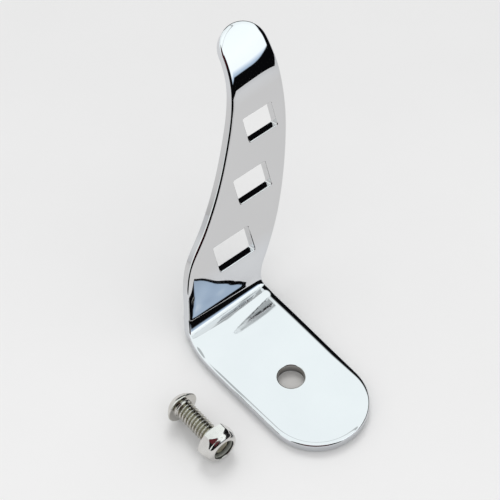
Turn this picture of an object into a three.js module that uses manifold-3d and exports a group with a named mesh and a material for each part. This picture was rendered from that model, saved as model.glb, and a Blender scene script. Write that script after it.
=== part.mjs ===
// A hanger bent from one strip of chromed steel, with its mounting bolt and lock nut lying beside it.
// Millimetres, +Z up. The flange lies flat on Z = 0 and runs toward -Y, the blade rises at the +Y side.
// The origin is on the underside of the flange, on its centre line, between the hole and the bend.
import * as THREE from "three";
import { mergeVertices } from "three/addons/utils/BufferGeometryUtils.js";
import Module from "manifold-3d";

const wasm = await Module();
wasm.setup();

// The strip.
const WIDTH = 35;
const THICKNESS = 3.5;
const EDGE_CHAMFER = 0.6;

// The flange, measured from the line where the bend begins.
const FLANGE_LENGTH = 60.4;
const FLANGE_END_DEPTH = 16.8;
const FLANGE_END_HALF_WIDTH = WIDTH / 2 - 0.5;
const HOLE_TO_BEND = 31.5;
const HOLE_RADIUS = 4.4;
const RIM_CHAMFER = 0.35;
const ORIGIN_TO_BEND = 15.5;

// The bend and the blade, which leans back from upright.
const BEND_RADIUS = 4;
const BLADE_LEAN = THREE.MathUtils.degToRad(21);
const BEND_ANGLE = Math.PI / 2 - BLADE_LEAN;
const BEND_END = BEND_RADIUS * BEND_ANGLE;

// Where the right edge's tight fillet beside the bend has opened out.
const FILLET_END = 15;

// The tip, which curls back and ends in a round.
const CURL_START = 70;
const CURL_RADIUS = 28;
const TIP_X = 37.2;
const TIP_CENTRE = 82.9;
const TIP_RADIUS = 8.75;

// The blade's side edges in the flat strip: distance past the bend line, then X.
const LEFT_EDGE = [
  [-14, -17.35],
  [-7, -17.05],
  [0, -15.6],
  [5.4, -13.1],
  [11, -11.4],
  [16.5, -9.9],
  [24, -6.1],
  [33, 2.8],
  [43, 10.9],
  [55, 18.5],
  [66.5, 24.3],
  [75, 26.9],
  [TIP_CENTRE, TIP_X - TIP_RADIUS],
];
const RIGHT_EDGE = [
  [-14, 17.4],
  [0, 17.5],
  [5.4, 17.75],
  [8.9, 19.5],
  [12.6, 22.7],
  [21.6, 29.3],
  [30, 34],
  [42.4, 39.4],
  [55.8, 43.6],
  [69.3, 45.5],
  [TIP_CENTRE, TIP_X + TIP_RADIUS],
];

// The windows, from the bottom up: centre X, distance past the bend line, width and height.
const WINDOWS = [
  { x: 10.8, along: 20.65, width: 14.6, height: 9.7 },
  { x: 24.3, along: 38.95, width: 13.3, height: 9.1 },
  { x: 33.2, along: 57.4, width: 11.8, height: 8.7 },
];
const WINDOW_CORNER = 0.5;

// The 1/4-20 fastener, lying along Y on the surface that the flange rests on.
const FASTENER_X = -34.5;
const HEAD_SEAT_Y = -4;
const THREAD_PITCH = 1.27;
const THREAD_RADIUS = 3.175;
const THREAD_ROOT_RADIUS = 2.42;
const THREAD_CREST = THREAD_PITCH / 8;
const THREAD_ROOT = THREAD_PITCH / 4;
const THREAD_COLUMNS = 20;
const BOLT_LENGTH = 19.05;
const PLAIN_SHANK = 0.9;
const HEAD_RADIUS = 5.55;
const HEAD_HEIGHT = 3.35;
const HEAD_FLAT_RADIUS = 2.6;
const HEAD_RIM = 0.4;
const SOCKET_ACROSS_FLATS = 3.97;
const SOCKET_DEPTH = 2.1;
const NUT_ACROSS_FLATS = 11.1;
const NUT_HEIGHT = 5.95;
const NUT_SEAT = 14.45;
const RUNNING_GAP = 0.3;
const NUT_BORE = THREAD_RADIUS + RUNNING_GAP;
const INSERT_GROOVE = { radius: 4.6, from: 3.6, to: 5.5 };

const chrome = new THREE.MeshStandardMaterial({ color: "#dfe3e8", roughness: 0.04, metalness: 1 });
const platedSteel = new THREE.MeshStandardMaterial({ color: "#c9c7ba", roughness: 0.2, metalness: 1 });
const nylon = new THREE.MeshStandardMaterial({ color: "#8f908a", roughness: 0.5, metalness: 0 });

// A closed geometry as a solid that can be joined and cut.
function solid(geometry) {
  const bare = geometry.clone();
  bare.deleteAttribute("normal");
  bare.deleteAttribute("uv");
  const merged = mergeVertices(bare, 1e-4);
  return new wasm.Manifold(
    new wasm.Mesh({
      numProp: 3,
      vertProperties: merged.attributes.position.array,
      triVerts: new Uint32Array(merged.index.array),
    }),
  );
}

// A finished solid as a named mesh.
function meshOf(name, shape, material) {
  const { vertProperties, triVerts } = shape.getMesh();
  const geometry = new THREE.BufferGeometry();
  geometry.setAttribute("position", new THREE.BufferAttribute(vertProperties, 3));
  geometry.setIndex(new THREE.BufferAttribute(triVerts, 1));
  geometry.computeVertexNormals();
  const mesh = new THREE.Mesh(geometry, material);
  mesh.name = name;
  return mesh;
}

// A turned solid about Z, from [radius, height] corners given from the bottom up.
function turned(corners, segments) {
  const profile = corners.map(([radius, height]) => new THREE.Vector2(radius, height));
  return solid(new THREE.LatheGeometry(profile, segments).rotateX(Math.PI / 2));
}

// A hexagonal prism about Z with two flats facing +Y and -Y.
function hexPrism(acrossFlats, from, to) {
  const prism = new THREE.CylinderGeometry(1, 1, to - from, 6);
  const radius = acrossFlats / Math.sqrt(3);
  prism.scale(radius, 1, radius);
  prism.rotateY(Math.PI / 6);
  prism.rotateX(Math.PI / 2);
  prism.translate(0, 0, (from + to) / 2);
  return solid(prism);
}

// An edge as a smooth curve X(along), held at its end values past the ends.
function edgeCurve(points) {
  const along = points.map((point) => point[0]);
  const x = points.map((point) => point[1]);
  const curve = new THREE.CubicInterpolant(along, x, 1);
  return (at) => curve.evaluate(THREE.MathUtils.clamp(at, along[0], along.at(-1)))[0];
}

const leftCurve = edgeCurve(LEFT_EDGE);
const rightCurve = edgeCurve(RIGHT_EDGE);

// The X of the left (-1) or right (+1) edge of the flat strip at a distance past the bend line.
function edgeX(side, along) {
  const roundStart = FLANGE_END_DEPTH - FLANGE_LENGTH;
  if (along > TIP_CENTRE) {
    return TIP_X + side * Math.sqrt(Math.max(0, TIP_RADIUS ** 2 - (along - TIP_CENTRE) ** 2));
  }
  if (along < roundStart) {
    const reach = (along - roundStart) / FLANGE_END_DEPTH;
    return side * FLANGE_END_HALF_WIDTH * Math.sqrt(Math.max(0, 1 - reach ** 2));
  }
  if (along < LEFT_EDGE[0][0]) {
    const atRound = side * FLANGE_END_HALF_WIDTH;
    const atBend = side < 0 ? LEFT_EDGE[0][1] : RIGHT_EDGE[0][1];
    return THREE.MathUtils.mapLinear(along, roundStart, LEFT_EDGE[0][0], atRound, atBend);
  }
  return side < 0 ? leftCurve(along) : rightCurve(along);
}

// The place of a point of the strip: its X, its distance past the bend line, and its depth below the front face.
function bent(x, along, depth) {
  let angle = 0;
  let y = along;
  let z = THICKNESS;
  if (along > 0) {
    angle = Math.min(along / BEND_RADIUS, BEND_ANGLE);
    y = BEND_RADIUS * Math.sin(angle);
    z = THICKNESS + BEND_RADIUS * (1 - Math.cos(angle));
  }
  if (along > BEND_END) {
    const straight = Math.min(along, CURL_START) - BEND_END;
    y += straight * Math.cos(BEND_ANGLE);
    z += straight * Math.sin(BEND_ANGLE);
  }
  if (along > CURL_START) {
    const curl = (along - CURL_START) / CURL_RADIUS;
    angle = BEND_ANGLE - curl;
    y += CURL_RADIUS * (Math.sin(BEND_ANGLE) - Math.sin(angle));
    z += CURL_RADIUS * (Math.cos(angle) - Math.cos(BEND_ANGLE));
  }
  y += depth * Math.sin(angle);
  z -= depth * Math.cos(angle);
  return new THREE.Vector3(x, y + ORIGIN_TO_BEND, z);
}

// Evenly spaced values from one end to the other, without the last.
function steps(from, to, count) {
  return Array.from({ length: count }, (_, i) => THREE.MathUtils.lerp(from, to, i / count));
}

// The distances at which the strip has a cross section: close together in its rounds and its bends.
function stations() {
  const flangeArc = steps(0.5, 14.5, 14).map((i) => Math.cos((i * Math.PI) / 28));
  const tipArc = steps(0.5, 10.5, 10).map((i) => Math.sin((i * Math.PI) / 20));
  const roundStart = FLANGE_END_DEPTH - FLANGE_LENGTH;
  return [
    ...flangeArc.map((reach) => roundStart - FLANGE_END_DEPTH * reach),
    ...steps(roundStart, LEFT_EDGE[0][0], 2),
    ...steps(LEFT_EDGE[0][0], 0, 6),
    ...steps(0, BEND_END, 8),
    ...steps(BEND_END, FILLET_END, 8),
    ...steps(FILLET_END, CURL_START, 20),
    ...steps(CURL_START, TIP_CENTRE, 6),
    ...tipArc.map((reach) => TIP_CENTRE + TIP_RADIUS * reach),
  ];
}

// The eight corners of the strip's chamfered cross section at one station.
function section(along) {
  const reach = 0.02;
  const corners = (side) => {
    const x = edgeX(side, along);
    const slope = (edgeX(side, along + reach) - edgeX(side, along - reach)) / (2 * reach);
    const inset = EDGE_CHAMFER / Math.hypot(1, slope);
    const insetX = x - side * inset;
    const insetAlong = along + side * slope * inset;
    return [
      bent(insetX, insetAlong, 0),
      bent(x, along, EDGE_CHAMFER),
      bent(x, along, THICKNESS - EDGE_CHAMFER),
      bent(insetX, insetAlong, THICKNESS),
    ];
  };
  return [...corners(-1), ...corners(1).reverse()];
}

// The bent strip before it is pierced.
function strip() {
  const sections = stations().map(section);
  const index = [];
  const last = sections.length - 1;
  for (let row = 0; row < last; row += 1) {
    for (let i = 0; i < 8; i += 1) {
      const a = row * 8 + i;
      const b = row * 8 + ((i + 1) % 8);
      index.push(a, a + 8, b, b, a + 8, b + 8);
    }
  }
  for (let i = 0; i < 3; i += 1) {
    index.push(i, i + 1, 7 - i, i + 1, 6 - i, 7 - i);
    const top = last * 8;
    index.push(top + i, top + 7 - i, top + i + 1, top + i + 1, top + 7 - i, top + 6 - i);
  }
  const geometry = new THREE.BufferGeometry().setFromPoints(sections.flat());
  geometry.setIndex(index);
  return solid(geometry);
}

// The punch that cuts one window square through the blade.
function windowPunch({ x, along, width, height }) {
  const r = WINDOW_CORNER;
  const [w, h] = [width / 2, height / 2];
  const outline = new THREE.Shape();
  outline.absarc(w - r, h - r, r, 0, Math.PI / 2);
  outline.absarc(r - w, h - r, r, Math.PI / 2, Math.PI);
  outline.absarc(r - w, r - h, r, Math.PI, 1.5 * Math.PI);
  outline.absarc(w - r, r - h, r, 1.5 * Math.PI, 2 * Math.PI);
  const punch = new THREE.ExtrudeGeometry(outline, { depth: 8, bevelEnabled: false, curveSegments: 3 });
  punch.translate(0, 0, -5);
  punch.rotateX(BEND_ANGLE);
  const centre = bent(x, along, 0);
  punch.translate(centre.x, centre.y, centre.z);
  return solid(punch);
}

// The drill for the flange's hole, which leaves a small chamfer on both faces.
function holeDrill() {
  const overrun = 1;
  const flare = HOLE_RADIUS + RIM_CHAMFER + overrun;
  const drill = turned(
    [
      [0, -overrun],
      [flare, -overrun],
      [HOLE_RADIUS, RIM_CHAMFER],
      [HOLE_RADIUS, THICKNESS - RIM_CHAMFER],
      [flare, THICKNESS + overrun],
      [0, THICKNESS + overrun],
    ],
    40,
  );
  return drill.translate([0, ORIGIN_TO_BEND - HOLE_TO_BEND, 0]);
}

function hangerBracket() {
  let bracket = strip().subtract(holeDrill());
  for (const opening of WINDOWS) {
    bracket = bracket.subtract(windowPunch(opening));
  }
  return meshOf("hanger_bracket", bracket, chrome);
}

// A helical thread about Z, longer than it needs to be, for trimming.
function threadStock(from, to) {
  const rise = THREAD_PITCH / THREAD_COLUMNS;
  const flank = (THREAD_PITCH - THREAD_CREST - THREAD_ROOT) / 2;
  const corners = [
    [THREAD_ROOT_RADIUS, 0],
    [THREAD_RADIUS, flank],
    [THREAD_RADIUS, flank + THREAD_CREST],
    [THREAD_ROOT_RADIUS, THREAD_PITCH - THREAD_ROOT],
  ];
  const rows = 4 * Math.ceil((to - from) / THREAD_PITCH + 2);
  const bottom = from - 1.5 * THREAD_PITCH;
  const points = [];
  for (let column = 0; column < THREAD_COLUMNS; column += 1) {
    const angle = (2 * Math.PI * column) / THREAD_COLUMNS;
    for (let row = 0; row <= rows; row += 1) {
      const [radius, height] = corners[row % 4];
      const z = bottom + rise * column + THREAD_PITCH * Math.floor(row / 4) + height;
      points.push(new THREE.Vector3(radius * Math.cos(angle), radius * Math.sin(angle), z));
    }
  }
  const at = (column, row) =>
    column < THREAD_COLUMNS ? column * (rows + 1) + row : at(column - THREAD_COLUMNS, row + 4);
  const index = [];
  for (let column = 0; column < THREAD_COLUMNS; column += 1) {
    const end = column < THREAD_COLUMNS - 1 ? rows : rows - 4;
    for (let row = 0; row < end; row += 1) {
      const [a, b] = [at(column, row), at(column + 1, row)];
      index.push(a, b, a + 1, b, b + 1, a + 1);
    }
  }
  // Each end is closed by a fan from the axis to the helical rim and the step where it meets itself.
  const columns = Array.from({ length: THREAD_COLUMNS }, (_, column) => column);
  const bottomRim = [...columns.map((column) => at(column, 0)), 4, 3, 2, 1];
  const lastColumn = at(THREAD_COLUMNS - 1, rows);
  const topRim = [...columns.map((column) => at(column, rows)), ...[1, 2, 3, 4].map((i) => lastColumn - i)];
  const bottomCentre = points.length;
  points.push(new THREE.Vector3(0, 0, points[0].z), new THREE.Vector3(0, 0, points[lastColumn].z));
  bottomRim.forEach((rim, i) => index.push(bottomCentre, bottomRim[(i + 1) % bottomRim.length], rim));
  topRim.forEach((rim, i) => index.push(bottomCentre + 1, rim, topRim[(i + 1) % topRim.length]));
  const geometry = new THREE.BufferGeometry().setFromPoints(points);
  geometry.setIndex(index);
  return solid(geometry);
}

// The button head: part of a ball from its flat top down to a short upright rim.
function buttonHead() {
  const rise = HEAD_HEIGHT - HEAD_RIM;
  const spread = HEAD_RADIUS ** 2 - HEAD_FLAT_RADIUS ** 2;
  const centre = (HEAD_HEIGHT + HEAD_RIM - spread / rise) / 2;
  const arc = steps(HEAD_RADIUS, HEAD_FLAT_RADIUS, 7).map((radius) => {
    const ball = Math.hypot(HEAD_RADIUS, HEAD_RIM - centre);
    return [radius, centre + Math.sqrt(ball ** 2 - radius ** 2)];
  });
  const corners = [
    [0, 0],
    [HEAD_RADIUS - 0.15, 0],
    [HEAD_RADIUS, 0.15],
    ...arc,
    [HEAD_FLAT_RADIUS, HEAD_HEIGHT],
    [0, HEAD_HEIGHT],
  ];
  return turned(corners, 40);
}

// The bolt about Z: the head's seat is at Z = 0, the head above it and the thread below.
function mountingBolt() {
  const tip = -BOLT_LENGTH;
  const lead = 0.75;
  const blank = turned(
    [
      [0, tip],
      [THREAD_RADIUS - lead, tip],
      [THREAD_RADIUS + 0.05, tip + lead],
      [THREAD_RADIUS + 0.05, 0.5],
      [0, 0.5],
    ],
    40,
  );
  const shank = turned(
    [
      [0, -PLAIN_SHANK],
      [THREAD_ROOT_RADIUS, -PLAIN_SHANK],
      [THREAD_RADIUS, THREAD_RADIUS - THREAD_ROOT_RADIUS - PLAIN_SHANK],
      [THREAD_RADIUS, 0.5],
      [0, 0.5],
    ],
    40,
  );
  const socket = hexPrism(SOCKET_ACROSS_FLATS, HEAD_HEIGHT - SOCKET_DEPTH, HEAD_HEIGHT + 1);
  const body = threadStock(tip, 0).intersect(blank).add(shank).add(buttonHead()).subtract(socket);
  return meshOf("mounting_bolt", body, platedSteel);
}

// The nut's body about Z: its seat is at Z = 0 and its collar is below.
function lockNutBody() {
  const corner = NUT_ACROSS_FLATS / Math.sqrt(3) + 0.1;
  const flat = NUT_ACROSS_FLATS / 2;
  const envelope = turned(
    [
      [0, -NUT_HEIGHT],
      [4.15, -NUT_HEIGHT],
      [4.7, -5.75],
      [5.15, -5.35],
      [flat - 0.15, -4.85],
      [flat - 0.05, -4.2],
      [flat + 0.05, -3.65],
      [corner, -3.05],
      [corner, -0.55],
      [flat - 0.15, 0],
      [0, 0],
    ],
    40,
  );
  const bore = turned(
    [
      [0, -NUT_HEIGHT - 1],
      [NUT_BORE + 0.1, -NUT_HEIGHT - 1],
      [NUT_BORE + 0.1, -INSERT_GROOVE.to],
      [INSERT_GROOVE.radius, -INSERT_GROOVE.to],
      [INSERT_GROOVE.radius, -INSERT_GROOVE.from],
      [NUT_BORE, -INSERT_GROOVE.from],
      [NUT_BORE, -0.5],
      [NUT_BORE + 1.5, 1],
      [0, 1],
    ],
    32,
  );
  const body = hexPrism(NUT_ACROSS_FLATS, -NUT_HEIGHT - 1, 1).intersect(envelope).subtract(bore);
  return meshOf("lock_nut_body", body, platedSteel);
}

// The locking ring, held in the groove inside the nut's collar.
function nylonInsert() {
  const outer = INSERT_GROOVE.radius - RUNNING_GAP;
  const top = -INSERT_GROOVE.from - RUNNING_GAP;
  const bottom = -INSERT_GROOVE.to + RUNNING_GAP;
  const profile = [
    [NUT_BORE, bottom],
    [outer, bottom],
    [outer, top],
    [NUT_BORE, top],
    [NUT_BORE, bottom],
  ];
  return meshOf("nylon_insert", turned(profile, 32), nylon);
}

// The bolt with its nut run onto it, lying on its side with the head toward +Y.
function fastener() {
  const group = new THREE.Group();
  const nut = new THREE.Group();
  nut.add(lockNutBody(), nylonInsert());
  nut.position.z = -NUT_SEAT;
  group.add(mountingBolt(), nut);
  group.rotation.x = -Math.PI / 2;
  group.position.set(FASTENER_X, HEAD_SEAT_Y, NUT_ACROSS_FLATS / 2);
  return group;
}

const hanger = new THREE.Group();
hanger.add(hangerBracket(), fastener());

export default hanger;
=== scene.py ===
"""The looks of a chromed strip hanger, with its button-head bolt and lock nut, on a pale studio floor.

Lengths are in millimetres, in the row frame, until a mesh is made in metres. The light panel's
are in metres.
"""

import math

import bpy
import numpy as np
from mathutils import Matrix
from mathutils.geometry import delaunay_2d_cdt


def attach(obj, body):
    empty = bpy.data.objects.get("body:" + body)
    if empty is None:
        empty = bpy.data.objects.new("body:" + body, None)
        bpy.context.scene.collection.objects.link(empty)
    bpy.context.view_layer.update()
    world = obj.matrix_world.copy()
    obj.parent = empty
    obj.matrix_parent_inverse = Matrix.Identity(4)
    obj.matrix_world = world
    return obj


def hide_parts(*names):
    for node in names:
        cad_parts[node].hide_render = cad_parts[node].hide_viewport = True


MM = 0.001

# The strip, as in the CAD source.
THICKNESS = 3.5
FLANGE_LENGTH = 60.4
FLANGE_END_DEPTH = 16.8
FLANGE_END_HALF_WIDTH = 17.0
ROUND_START = FLANGE_END_DEPTH - FLANGE_LENGTH
HOLE_TO_BEND = 31.5
HOLE_RADIUS = 4.4
ORIGIN_TO_BEND = 15.5
BEND_ANGLE = math.radians(69)
CURL_START = 70.0
CURL_RADIUS = 28.0
TIP_X = 37.2
TIP_CENTRE = 82.9
TIP_RADIUS = 8.75

# The front face's relief. The tip is a dome: its height, the left side's share of it, and where it grows.
CROWN = 0.42
LEFT_CROWN = 0.4
CROWN_START = 64.0
CROWN_GROWTH = 14.0
# The flange's swell toward the bend: its height, its length at the two sides, and how fast it ends.
SWELL = 0.25
SWELL_SIDES = (-15, 15)
SWELL_REACH = (9.0, 3.0)
SWELL_END = 5
# The waves at the blade's foot: height, fades as (start, length), and radians per millimetre.
WAVE = 0.02
WAVE_RISE = 3
WAVE_FALL = (18, 10)
WAVE_ACROSS = 0.62
WAVE_OFFSET = 0.8
WAVE_ALONG = 0.45
# The bulge at the left of the blade's foot: height, and fades as (start, length) toward -X and along.
LOBE = 0.15
LOBE_SIDE = (4, 8)
LOBE_RISE = (6, 12)
LOBE_FALL = (22, 10)
SLOPE_STEP = 0.01

# The bend: a tight arc out of the flange, a wide one, widest at the left, and a short tight one into
# the blade.
TIGHT_RADIUS = 1.5
TIGHT_ANGLE = math.radians(54.5)
EASY_ANGLE = math.radians(6.5)
LAST_ANGLE = BEND_ANGLE - TIGHT_ANGLE - EASY_ANGLE
# At the strip's left side and its right: X, the second and third arcs' radii and the start of the bend.
BEND_SIDES = (-14.0, 16.0)
EASY_RADII = (28.0, 11.0)
LAST_RADII = (4.0, 3.0)
BEND_STARTS = (1.065, 1.479)
BEND_END = 7.0

# The blade's side edges in the flat strip: distance past the bend line, then X.
LEFT_EDGE = [
    (-14, -17.35),
    (-7, -17.05),
    (0, -15.6),
    (5.4, -13.1),
    (11, -11.4),
    (16.5, -9.9),
    (24, -6.1),
    (33, 2.8),
    (43, 10.9),
    (55, 18.5),
    (66.5, 24.3),
    (75, 26.9),
    (TIP_CENTRE, TIP_X - TIP_RADIUS),
]
RIGHT_EDGE = [
    (-14, 17.4),
    (0, 17.5),
    (5.4, 17.75),
    (8.9, 19.5),
    (12.6, 22.7),
    (21.6, 29.3),
    (30, 34),
    (42.4, 39.4),
    (55.8, 43.6),
    (69.3, 45.5),
    (TIP_CENTRE, TIP_X + TIP_RADIUS),
]

# The windows: centre X, distance past the bend line, width and height.
WINDOWS = [
    (10.8, 20.65, 14.6, 9.7),
    (24.3, 38.95, 13.3, 9.1),
    (33.2, 57.4, 11.8, 8.7),
]
WINDOW_CORNER = 0.6

# How polishing has rounded the strip's edges: a slight roll-off, then a small round. Along the right
# of the flange and the left of the blade's foot the roll-off is wide, and left of the bend it is tight.
# Each span says where along the strip that fades in and out.
ROLL_RADIUS = 6.0
ROLL_ANGLE = math.radians(12)
WIDE_ROLL_RADIUS = 13.0
WIDE_ROLL_SPAN = (-50, -34, 0, 6)
LEFT_ROLL_SPAN = (7, 10, 14, 24)
TIGHT_ROLL_RADIUS = 1.0
TIGHT_ROLL_SPAN = (-4, 0, 5, 7)
FADE = (0, 1, 1, 0)
EDGE_ROUND = 0.6
OPENING_ROUND = 0.35

# The strip's mesh: spacings along the outline and between the rows of points inside the faces.
OUTLINE_STEP = 0.25
OUTLINE_SMOOTHING = 1.0
COARSE_ROW = 1.6
FOOT_ROW = 0.6
FINE_ROW = 0.5
FINE_FLANGE_START = -9.5
BEND_ROWS = 44
FOOT_END = 26
COLUMN_STEP = 1.1
GRID_SIDES = (-16.5, 45)
GRID_MARGIN = 0.4

# The 1/4-20 fastener, as in the CAD source.
FASTENER_X = -34.5
HEAD_SEAT_Y = -4.0
AXIS_HEIGHT = 5.55
PITCH = 1.27
THREAD_RADIUS = 3.175
THREAD_ROOT_RADIUS = 2.42
THREAD_FLANK = (PITCH - PITCH / 8 - PITCH / 4) / 2
BOLT_LENGTH = 19.05
PLAIN_SHANK = 0.9
HEAD_RADIUS = 5.54
HEAD_HEIGHT = 3.34
HEAD_FLAT_RADIUS = 2.6
HEAD_RIM = 0.4
HEAD_FILLET = 0.6
HEAD_RIM_ROUND = 0.22
SOCKET_ACROSS_FLATS = 3.97
SOCKET_DEPTH = 2.1
NUT_FLAT = 5.54
NUT_SEAT = 14.45
NUT_BORE = 3.44
NUT_LIP_RADIUS = 3.75
NUT_CORNER = NUT_FLAT / math.cos(math.radians(30)) - 0.07
# The nut's heights run from its seat toward the bolt's head, so they are negative on its body. The cone
# starts at CONE_START at the middles of the flats and CONE_RISE nearer the seat at the corners. Its end
# and the collar are (radius, height).
CONE_START = -3.95
CONE_RISE = 1.35
CONE_END = (5.49, -4.25)
COLLAR = [(5.46, -4.5), (5.38, -4.85), (5.24, -5.15), (5.04, -5.42), (4.8, -5.63), (4.5, -5.79), (4.2, -5.89)]
LIP_ROUND = 0.2
# The tilt of the cone's and the collar's normals from square to the axis, in degrees, by height.
COLLAR_HEIGHTS = (-5.93, -5.89, -5.79, -5.63, -5.42, -5.15, -4.85, -4.5, -4.25, -4.1, -2.6)
COLLAR_TILTS = (90, 78, 66, 55, 44, 32, 20, 14, 24, 28, 28)
# The nylon ring.
RING_TOP = -3.92
RING_BOTTOM = -5.3
RING_INNER = 3.3
RING_OUTER = 4.28

# Colours. Pairs are the two ends of a slow variation over the piece.
CHROME_TINTS = ((0.69, 0.705, 0.73), (0.715, 0.73, 0.752))
BLADE_GREY = (0.655, 0.655, 0.66)
BLADE_GREY_SPAN = (14, 20, 64, 70)
# Painted shade in the hole's bore, darkest at its bottom: its colours at two heights, its edges past the
# hole's radius, and how far its axis is shifted, which darkens the near side of the rim as painted shadow.
BORE_SHADE_TINTS = ((0.05, 0.042, 0.035), (0.44, 0.42, 0.39))
BORE_SHADE_HEIGHTS = (0.2, 2.6)
BORE_SHADE_EDGE = (0.1, 0.33)
BORE_SHADE_SHIFT = (-0.11, -0.13)
BOLT_TINTS = ((0.57, 0.555, 0.52), (0.69, 0.675, 0.64))
# Painted shade in the thread's roots.
THREAD_ROOT_SHADE = (0.25, 0.235, 0.17)
NUT_TINTS = ((0.63, 0.62, 0.60), (0.72, 0.71, 0.69))
NYLON_TINTS = ((0.22, 0.23, 0.2), (0.32, 0.33, 0.3))
# The shadowed gap between the ring and the collar's lip: its colour, and its edge inside the lip.
NYLON_GAP_SHADOW = (0.02, 0.02, 0.018)
NYLON_GAP_SHADOW_EDGE = (0.22, 0.1)

# The floor: the direction away from the viewer, where painted light on it fades along that, in metres, and
# a painted shadow under the flange's hole, with its edges past the hole's radius.
FLOOR_REACH = 3000
FLOOR_LEVEL = -0.1
FLOOR_TINTS = ((0.765, 0.765, 0.765), (0.94, 0.94, 0.94))
FLOOR_AHEAD = (0.64, 0.77, 0)
FLOOR_LIGHT_SPAN = (-0.15, 0.2)
# A painted shadow on the floor under the flange's hole: its colour, its strength and its edges.
HOLE_SHADOW = (0.34, 0.31, 0.27)
HOLE_SHADOW_STRENGTH = 0.35
HOLE_SHADOW_EDGE = (-0.5, 1)

# The light panel, in metres and watts, and the even light that all but glossy rays see.
PANEL_SIZE = 0.5
PANEL_POWER = 2.5
PANEL_PLACE = (0.35, 0.45, 0.85)
AMBIENT = 0.80

# What glossy rays see. The tent's colours go by the sine of the elevation, plus BLUE_LIFT everywhere
# but in front, so only the front shows the blue ones.
BRIGHT_WALL_STEPS = [
    (0.24, (0.44, 0.55, 0.69)),
    (0.29, (0.55, 0.68, 0.83)),
    (0.37, (1.15, 1.22, 1.25)),
    (0.60, (1.2, 1.25, 1.25)),
    (0.76, (1.17, 1.24, 1.23)),
]
# The dark room below the tent. Its horizon is LOW_HORIZON plus a step for each bearing, in radians from
# +X: the first two numbers are where the step starts and ends, the last two its height there. DARK_BACK
# multiplies the sum of the others. HORIZON_BLUR is its softness: a share of its height, and the least.
LOW_HORIZON = -0.05
DARK_FRONT = (-2.2, -1.4, 0.0, 0.29)
DARK_RIGHT = (-1.1, -0.55, 0.0, 0.33)
DARK_CORNER = (-0.1, 0.4, 0.0, 0.12)
DARK_BACK = (1.3, 1.7, 1.0, 0.0)
HORIZON_BLUR = (0.08, 0.005)
# Steps by bearing in the same way, for the blue and for the tent's brightness.
BLUE_FRONT = (-0.6, 0.2, 1.0, 0.0)
BRIGHTER_FRONT = (-0.8, 0.3, 1.12, 1.0)
BLUE_LIFT = 0.45
# A pale haze low in the tent, and a thin darker rim near its top.
HAZE_TOP = (0.0, 0.3)
HAZE = (0.72, 0.73, 0.75)
OVERHEAD_RIM = (0.888, 0.893, 0.903, 0.908)
OVERHEAD_SHADE = 0.5
DARK_WALL = (0.003, 0.003, 0.0035)

# The dark figure behind the camera: the cosines of its head's and its shirt's edges from the camera's
# direction, the shirt's colour, and its body's bearing, half width and top.
PERSON_EDGE = (0.89, 0.915)
SHIRT_EDGE = (0.92, 0.95)
SHIRT = (0.11, 0.012, 0.018)
BODY_BEARING = -2.24
BODY_HALF_WIDTH = 0.76
BODY_EDGE = 0.05
BODY_TOP = (0.8, 0.75)

# The camera, from a fit to the photograph's outlines.
CAMERA_PLACE = (-223.25, -267.55, 504.14)
CAMERA_RIGHT = (0.76511, -0.64384, -0.00847)
CAMERA_UP = (0.51327, 0.60190, 0.61177)
CAMERA_BACK = (-0.38879, -0.47243, 0.79099)
CAMERA_LENS = 135.9
CAMERA_SENSOR = 36

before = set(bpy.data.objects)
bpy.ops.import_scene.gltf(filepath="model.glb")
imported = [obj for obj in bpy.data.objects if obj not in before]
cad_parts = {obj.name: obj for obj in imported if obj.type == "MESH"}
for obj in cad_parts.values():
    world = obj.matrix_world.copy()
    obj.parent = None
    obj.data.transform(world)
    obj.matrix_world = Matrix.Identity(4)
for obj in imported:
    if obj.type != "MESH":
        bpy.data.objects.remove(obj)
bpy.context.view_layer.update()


# Meshes -----------------------------------------------------------------------------------------


def mesh_object(name, points, faces, normals=None):
    """A smooth-shaded mesh object from points in millimetres."""
    mesh = bpy.data.meshes.new(name)
    mesh.from_pydata((np.asarray(points) * MM).tolist(), [], faces)
    mesh.shade_smooth()
    if normals is not None:
        mesh.normals_split_custom_set_from_vertices(np.asarray(normals).tolist())
    mesh.validate()
    piece = bpy.data.objects.new(name, mesh)
    bpy.context.scene.collection.objects.link(piece)
    return piece


def ring_faces(upper, lower, flip=False):
    """The quads between two closed rings of vertex numbers."""
    faces = []
    for a, b, c, d in zip(upper, np.roll(upper, -1), np.roll(lower, -1), lower):
        quad = (int(a), int(d), int(c), int(b)) if flip else (int(a), int(b), int(c), int(d))
        faces.append(quad)
    return faces


# The bracket ------------------------------------------------------------------------------------


def edge_curve(points):
    """A smooth curve X(along) through the points, held at its end values past the ends."""
    along, x = np.array(points, float).T
    secant = np.diff(x) / np.diff(along)
    slope = np.concatenate([secant[:1], (secant[1:] + secant[:-1]) / 2, secant[-1:]])

    def at(s):
        s = np.clip(s, along[0], along[-1])
        i = np.clip(np.searchsorted(along, s) - 1, 0, len(along) - 2)
        span = along[i + 1] - along[i]
        t = (s - along[i]) / span
        rise = x[i] * (1 + 2 * t) * (1 - t) ** 2 + x[i + 1] * t**2 * (3 - 2 * t)
        return rise + span * (slope[i] * t * (1 - t) ** 2 - slope[i + 1] * t**2 * (1 - t))

    return at


def side_x(side, along):
    """The X of the left (-1) or right (+1) edge between the flange's round end and the tip's round."""
    points = LEFT_EDGE if side < 0 else RIGHT_EDGE
    straight = np.interp(
        along, [ROUND_START, points[0][0]], [side * FLANGE_END_HALF_WIDTH, points[0][1]]
    )
    return np.where(along < points[0][0], straight, edge_curve(points)(along))


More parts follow.
